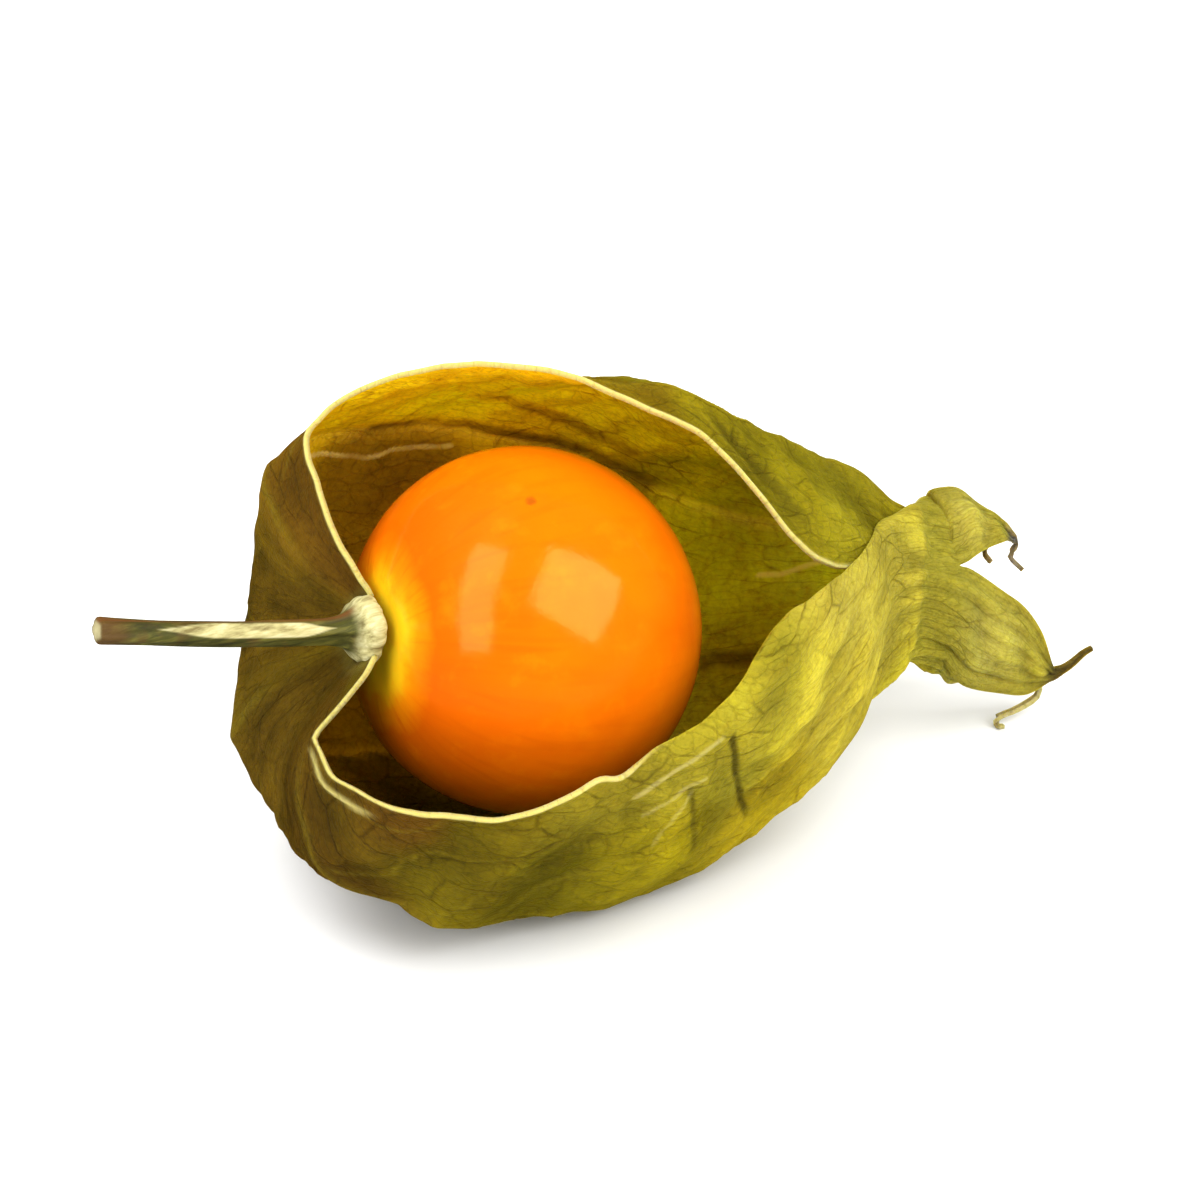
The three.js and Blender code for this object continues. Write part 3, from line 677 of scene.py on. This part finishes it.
# The sepal ends grow on from the sheet's last row. Each is a blade between two edges, given in mm along,
# behind and above the fruit's axis, that closes into a dried thread.
SEPALS = [
    {"first": [(34.5, 2.3, 5.3), (35.6, 1.7, 5.7), (36.7, 0.8, 5.2), (38.0, -0.2, 4.6),
               (38.6, -0.6, 4.05)],
     "last": [(35.4, -1.5, 2.95), (36.3, -1.3, 3.4), (37.6, -0.9, 3.6), (38.6, -0.65, 3.7)],
     "thread": [(38.9, -0.7, 3.4), (38.6, -0.9, 2.7), (39.5, -1.0, 1.9)],
     "width": (0.34, 0.22), "puff": 0.5, "dried": (0.17, 0.14, 0.08)},
    {"first": [(35.6, -1.6, 2.5), (37.8, -1.9, 1.2), (39.5, -2.0, 0.1), (41.0, -2.1, -1.5),
               (42.0, -2.2, -3.2), (42.4, -2.2, -3.9)],
     "last": [(36.3, -2.6, -4.3), (39.2, -2.5, -5.1), (40.8, -2.4, -5.35), (41.8, -2.3, -5.0),
              (42.5, -2.2, -4.6)],
     "thread": [(43.0, -2.3, -3.95), (43.5, -2.3, -3.6), (44.1, -2.3, -3.0), (44.6, -2.3, -2.7)],
     "width": (0.60, 0.24), "puff": 0.45, "dried": (0.09, 0.065, 0.012)},
    {"first": [(36.8, -1.2, -4.6), (40.6, -1.4, -5.4), (42.4, -1.4, -5.2)],
     "last": [(38.4, 0.2, -5.2), (42.0, -0.8, -5.9), (42.6, -1.2, -5.5)],
     "thread": [(42.3, -1.5, -6.1), (41.1, -1.6, -6.8), (39.9, -1.7, -7.2), (40.0, -1.8, -7.9),
                (40.5, -1.9, -8.6)],
     "width": (0.50, 0.22), "puff": 0.25, "dried": (0.46, 0.40, 0.17)},
    {"first": [(36.8, 1.4, -3.2), (38.6, 1.5, -3.0), (39.9, 1.3, -2.2)],
     "last": [(36.2, 2.9, 0.9), (38.2, 2.5, 0.1), (39.8, 1.7, -1.5)],
     "thread": [(40.6, 1.0, -2.2), (41.0, 0.5, -3.2), (40.6, 0.2, -4.0)],
     "width": (0.40, 0.22), "puff": 0.4, "dried": (0.22, 0.17, 0.07)},
    {"first": [(36.0, 3.0, 2.0), (37.2, 2.4, 2.4), (38.0, 1.7, 2.9)],
     "last": [(35.8, 0.9, 3.8), (37.0, 0.9, 3.8), (37.9, 1.3, 3.4)],
     "thread": [(38.6, 1.4, 2.6), (38.4, 1.3, 1.8), (38.9, 1.2, 1.2)],
     "width": (0.32, 0.20), "puff": -0.1, "dried": (0.20, 0.15, 0.06)},
]
BLADE_ROWS = 26
THREAD_ROWS = 12
# The two ends behind the neck, where no band shows, start in the colour painted on the sheet's last row
# there.
REAR_ENDS = (3, 4)
# A place in mm that is out of reach of every drawn line.
OUT_OF_REACH = 9.0
partings = [int(np.argmin(np.abs(angle_grid[-1] - parting))) for parting in SEPAL_PARTINGS]
sepal_pieces = []
for number, sepal in enumerate(SEPALS):
    columns = slice(partings[number], partings[number + 1] + 1)
    root = sheet[-1, columns]
    root_steps = np.concatenate([[0], np.cumsum(np.linalg.norm(np.diff(root, axis=0), axis=1))])
    across = root_steps / root_steps[-1]
    first_edge, first_length = even_curve(np.concatenate([root[:1], sepal["first"]]), BLADE_ROWS + 1)
    last_edge, _ = even_curve(np.concatenate([root[-1:], sepal["last"]]), BLADE_ROWS + 1)
    done = np.linspace(0, 1, BLADE_ROWS + 1)[:, None]
    width = np.linalg.norm(last_edge - first_edge, axis=1)[:, None]
    blade = first_edge[:, None] * (1 - across[None, :, None]) + last_edge[:, None] * across[None, :, None]
    chord = root[:1] + (root[-1:] - root[:1]) * across[:, None]
    blade = blade + (root - chord)[None] * ((1 - done) ** 1.6 * width / width[0])[..., None]
    outward = root.mean(axis=0) * np.array((0, 1, 1)) - np.array((0, 0, 0.3))
    outward /= np.linalg.norm(outward)
    arch = np.sin(math.pi * across)[None]
    grown_on = soft_step(done, 0, 0.3)
    pleats = np.sin(math.pi * (11 * across[None] + 0.4 * number) + 1.4 * done) * arch
    pleats = pleats * np.sqrt(width / width[0])
    crinkle = arch * ripples(
        done * 8 + 0 * arch, across[None] * 4 + 7 * number, count=6, shortest=1.4, longest=3.5,
        seed=41 + number)
    relief = (0.09 * pleats + 0.17 * crinkle) * grown_on
    puff = sepal["puff"] * arch * np.sin(math.pi * np.minimum(done * 1.05, 1))
    blade = blade + (puff + relief)[..., None] * outward
    # The thread: a thin strip that keeps the way the blade's end lies.
    tip = (first_edge[-1] + last_edge[-1]) / 2
    path, path_length = even_curve(np.concatenate([[tip], sepal["thread"]]), THREAD_ROWS + 1)
    heading = np.gradient(path, axis=0)
    heading /= np.linalg.norm(heading, axis=1, keepdims=True)
    flat = np.cross(heading, outward)
    flat /= np.linalg.norm(flat, axis=1, keepdims=True)
    if np.dot(flat[0], last_edge[-1] - first_edge[-1]) < 0:
        flat = -flat
    fade = np.linspace(0, 1, THREAD_ROWS + 1)[:, None]
    half = 0.5 * (sepal["width"][0] * (1 - fade) + sepal["width"][1] * fade)
    thread = path[:, None] + flat[:, None] * ((across[None] - 0.5) * 2 * half)[..., None]
    join = soft_step(fade, 0, 0.25)[..., None]
    thread = thread * join + (blade[-1][None] + (path - path[0])[:, None]) * (1 - join)
    rows = np.concatenate([blade, thread[1:]])
    rows[0] = root
    piece = sheet_object("sepal_end_%d" % (number + 1), rows)
    lengths = np.concatenate([first_length, first_length[-1] + path_length[1:]])
    lengths = lengths[:, None] + 0 * across[None]
    grown = np.repeat(facts["grown"][-1:, columns], len(rows), axis=0)
    map_sheet(piece, row_length[-1] + lengths, grown)
    tone = np.ones(rows.shape) * np.array((0.26, 0.228, 0.022))
    # Raised pleats and crinkles of the blade are lightened and their hollows darkened, as painted light
    # and painted shade.
    ridge = np.concatenate([relief, np.zeros((THREAD_ROWS, len(across)))])
    tone = tone * (1 + np.clip(ridge * 1.3, -0.28, 0.35))[..., None]
    pale_patch = np.concatenate([swell(done, 0.35, 0.25) * arch, np.zeros((THREAD_ROWS, len(across)))])
    tone = toned(tone, (0.42, 0.38, 0.085), 0.45 * pale_patch)
    dry = np.concatenate([soft_step(done, 0.82, 1.0), np.ones((THREAD_ROWS, 1))]) + 0 * across[None]
    tone = toned(tone, sepal["dried"], dry)
    if number in REAR_ENDS:
        tone[0] = tone_and_shading_out[-1, columns]
    paint_colour(piece, "tone_and_shading_out", tone)
    paint_colour(piece, "tone_and_shading_in", toned(tone * 1.15, sepal["dried"], dry))
    paint_value(piece, "edge", np.zeros(rows.shape[:2]))
    far_off = np.full(rows.shape[:2], OUT_OF_REACH)
    for line_number in range(len(LINES)):
        paint_place(piece, "line_%d" % line_number, far_off, far_off)
    paint_value(piece, "bead", 0.7 * dry)
    sepal_pieces.append(piece)

bpy.ops.object.select_all(action="DESELECT")
for piece in [husk] + sepal_pieces:
    piece.select_set(True)
bpy.context.view_layer.objects.active = husk
bpy.ops.object.join()
husk = bpy.context.object
bpy.ops.object.mode_set(mode="EDIT")
bpy.ops.mesh.select_all(action="SELECT")
bpy.ops.mesh.remove_doubles(threshold=2e-7)
bpy.ops.mesh.normals_make_consistent(inside=False)
bpy.ops.object.mode_set(mode="OBJECT")
# Underneath, the sheet lies flat on what it rests on.
spots = vertex_places(husk)
rest = cad_low.z + HUSK_WALL * THIN_SHARE * MM / 2
lift = spots[:, 2] - rest
press = 0.3 * MM
pressed = press * np.exp((np.minimum(lift, press) - press) / press)
spots[:, 2] = rest + np.where(lift > press, lift, pressed)
move_vertices(husk, spots)
bead = np.empty(len(husk.data.vertices), dtype=np.float32)
husk.data.attributes["bead"].data.foreach_get("value", bead)
thickness = husk.vertex_groups.new(name="thickness")
for step in range(11):
    members = np.flatnonzero(np.round(bead * 10) == step)
    if len(members):
        thickness.add([int(m) for m in members], THIN_SHARE + (1 - THIN_SHARE) * step / 10, "REPLACE")
sheet_count = len(husk.data.vertices)
wall = husk.modifiers.new("wall", "SOLIDIFY")
wall.thickness = HUSK_WALL * MM
wall.offset = 0
wall.vertex_group = "thickness"
wall.use_even_offset = False
bpy.ops.object.modifier_apply(modifier="wall")
husk.data.shade_smooth()

# The wall whose normals point at the axis is the inside of the husk.
spots = vertex_places(husk)
normals = np.empty(len(spots) * 3)
husk.data.vertices.foreach_get("normal", normals)
normals = normals.reshape(-1, 3)
along, back, up = fruit_measure(spots)
first_wall = np.arange(len(spots)) < sheet_count
from_axis = spots - fruit_place(along, 0 * along, 0 * along - 1.0)
outwards = np.sum(from_axis * normals, axis=1)
belly = first_wall & (along > 0) & (along < 20)
first_is_outside = np.mean(outwards[belly]) > 0
paint_value(husk, "inside", (first_wall != first_is_outside).astype(float))

finish = Finish("husk paper")
sheet_map = finish.add("ShaderNodeUVMap", uv_map="UVMap").outputs[0]
place = finish.add("ShaderNodeTexCoord").outputs["Object"]
sway = finish.add("ShaderNodeTexNoise", {"Vector": place, "Scale": 420.0, "Detail": 3.0})
swayed = finish.add(
    "ShaderNodeMix", {0: 0.09, 4: sheet_map, 5: sway.outputs["Color"]}, data_type="VECTOR").outputs[1]
cells = finish.add("ShaderNodeTexVoronoi", {
    "Vector": finish.stretched(swayed, (2.9, 6.6, 1)), "Scale": 1.0, "Randomness": 1.0},
    feature="DISTANCE_TO_EDGE", voronoi_dimensions="2D")
small_cells = finish.add("ShaderNodeTexVoronoi", {
    "Vector": finish.stretched(swayed, (10, 21, 1)), "Scale": 1.0},
    feature="DISTANCE_TO_EDGE", voronoi_dimensions="2D")
fibres = finish.add("ShaderNodeTexNoise", {
    "Vector": finish.stretched(swayed, (2.2, 36, 1)), "Scale": 1.0, "Detail": 4.0, "Roughness": 0.6})
stain = finish.add("ShaderNodeTexNoise", {
    "Vector": place, "Scale": 230.0, "Detail": 5.0, "Roughness": 0.62})
stipple = finish.add("ShaderNodeTexNoise", {
    "Vector": place, "Scale": 2600.0, "Detail": 3.0, "Roughness": 0.7})
fading = finish.ramp(stain.outputs["Fac"], (0.38, 0.15), (0.6, 1.0))
vein_line = finish.ramp(cells.outputs["Distance"], (0.0, 1.0), (0.05, 0.0))
vein_line = finish.math("MULTIPLY", vein_line, fading)
thin_line = finish.ramp(small_cells.outputs["Distance"], (0.0, 1.0), (0.09, 0.0))
fibre = finish.ramp(fibres.outputs["Fac"], (0.36, 0.0), (0.66, 1.0))
inside = finish.attribute("inside")
outside = finish.math("SUBTRACT", 1.0, inside)
# The painted colours hold the paper's own tones together with painted light and painted shade.
tone = finish.mix(inside, finish.attribute("tone_and_shading_out", "Color"), finish.attribute("tone_and_shading_in", "Color"))
# Brown stains, paler fibres, light and dark stipple, then the veins and the finer net between them.
for share, tint in (
        (finish.ramp(stain.outputs["Fac"], (0.42, 0.0), (0.72, 0.55)), (0.72, 0.68, 0.50, 1)),
        (finish.math("MULTIPLY", fibre, 0.40), (1.3, 1.3, 1.2, 1)),
        (finish.ramp(stipple.outputs["Fac"], (0.46, 0.0), (0.66, 0.45)), (1.4, 1.4, 1.5, 1)),
        (finish.ramp(stipple.outputs["Fac"], (0.34, 0.40), (0.46, 0.0)), (0.6, 0.6, 0.5, 1)),
        (finish.math("MULTIPLY", vein_line, 0.62), (0.48, 0.44, 0.30, 1)),
        (finish.math("MULTIPLY", thin_line, 0.34), (0.60, 0.58, 0.45, 1))):
    tone = finish.mix(share, tone, finish.mix(1.0, tone, tint, "MULTIPLY"))
# Each line is drawn pale or near-black; the dark ones, in grooves, are painted shade along their creases.
for number, (side_name, light, width, height, points) in enumerate(LINES):
    reach = finish.add("ShaderNodeVectorMath", {
        0: finish.attribute("line_%d" % number, "Vector")}, operation="LENGTH").outputs["Value"]
    reach = finish.math("DIVIDE", reach, 4 * width)
    drawn = finish.ramp(reach, (0.12, min(1.0, abs(light))), (0.40, 0.0))
    drawn = finish.math("MULTIPLY", drawn, inside if side_name == "in" else outside)
    drawn = finish.math("MULTIPLY", drawn, finish.ramp(stain.outputs["Fac"], (0.36, 0.35), (0.5, 1.0)))
    tone = finish.mix(drawn, tone, (0.66, 0.58, 0.24, 1) if light > 0 else (0.05, 0.038, 0.002, 1))
tone = finish.mix(finish.attribute("edge"), tone, (0.52, 0.45, 0.14, 1))
height = finish.math("MULTIPLY_ADD", thin_line, 0.3, finish.math("MULTIPLY", vein_line, 0.8))
height = finish.math("MULTIPLY_ADD", fibres.outputs["Fac"], 1.0, height)
height = finish.math("MULTIPLY_ADD", stipple.outputs["Fac"], 0.9, height)
relief = finish.add("ShaderNodeBump", {"Height": height, "Strength": 0.9, "Distance": 0.00014})
surface = finish.add("ShaderNodeBsdfPrincipled", {
    "Base Color": tone, "Roughness": finish.ramp(stain.outputs["Fac"], (0.3, 0.48), (0.7, 0.66)),
    "Specular IOR Level": 0.07, "Subsurface Weight": 0.6, "Subsurface Radius": (1.0, 0.75, 0.15),
    "Subsurface Scale": 0.0008, "Normal": relief.outputs[0]})
finish.add("ShaderNodeOutputMaterial", {"Surface": surface.outputs[0]})
husk.data.materials.clear()
husk.data.materials.append(finish.material)
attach(husk, "root")
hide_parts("husk")


# ---------------------------------------------------------------- table, lights and camera
# A plain pale table under soft studio light, seen from in front of the open side and from above.
bpy.ops.object.select_all(action="DESELECT")
bpy.ops.mesh.primitive_plane_add(size=3.0, location=(0, 0, cad_low.z))
table = bpy.context.object
table.name = "pale_table"
finish = Finish("pale table")
surface = finish.add("ShaderNodeBsdfPrincipled", {
    "Base Color": (0.93, 0.93, 0.92, 1), "Roughness": 0.75, "Specular IOR Level": 0.2})
finish.add("ShaderNodeOutputMaterial", {"Surface": surface.outputs[0]})
table.data.materials.append(finish.material)
table.visible_glossy = False
table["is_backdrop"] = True

AZIMUTH, ELEVATION = math.radians(-27), math.radians(33)
CAMERA_DISTANCE = 0.45
to_camera = Vector((
    math.sin(AZIMUTH) * math.cos(ELEVATION), -math.cos(AZIMUTH) * math.cos(ELEVATION),
    math.sin(ELEVATION)))
to_right = Vector((math.cos(AZIMUTH), math.sin(AZIMUTH), 0))
to_top = to_camera.cross(to_right)
seen_low, seen_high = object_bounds()
aim = (seen_low + seen_high) / 2


def softbox(name, direction, distance, width, tall, power, roll=0.0, mirrored=True):
    """A rectangular soft light, placed by its direction to the right, to the top and to the camera."""
    way = (to_right * direction[0] + to_top * direction[1] + to_camera * direction[2]).normalized()
    light = bpy.data.lights.new(name, "AREA")
    light.shape = "RECTANGLE"
    light.size, light.size_y = width, tall
    light.energy = power
    lamp = bpy.data.objects.new(name, light)
    bpy.context.scene.collection.objects.link(lamp)
    lamp.location = aim + way * distance
    lamp.rotation_euler = (-way).to_track_quat("-Z", "Y").to_euler()
    lamp.rotation_euler.rotate_axis("Z", roll)
    lamp.visible_glossy = mirrored


softbox("left window", (-0.56, 0.32, 0.76), distance=0.42, width=0.20, tall=0.56, power=1.2,
        roll=math.radians(24))
softbox("right window", (0.50, 0.38, 0.76), distance=0.42, width=0.35, tall=0.38, power=1.85,
        roll=math.radians(32))
softbox("high fill", (-0.50, 0.80, 0.35), distance=0.60, width=0.45, tall=0.45, power=1.8,
        mirrored=False)
softbox("back glow", (-0.10, 0.62, -0.75), distance=0.55, width=0.5, tall=0.25, power=2.1,
        mirrored=False)

world = bpy.data.worlds.new("studio")
world.use_nodes = True
world.node_tree.nodes["Background"].inputs["Color"].default_value = (1, 1, 1, 1)
world.node_tree.nodes["Background"].inputs["Strength"].default_value = 0.70
world.cycles_visibility.glossy = False
bpy.context.scene.world = world
bpy.context.scene.view_settings.view_transform = "Standard"

lens = bpy.data.cameras.new("camera")
lens.lens = 250
lens.sensor_width = 36
lens.clip_start = 0.01
camera = bpy.data.objects.new("camera", lens)
bpy.context.scene.collection.objects.link(camera)
camera.location = aim + to_camera * CAMERA_DISTANCE
camera.rotation_euler = (-to_camera).to_track_quat("-Z", "Y").to_euler()
bpy.context.scene.camera = camera

seen_low, seen_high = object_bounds()
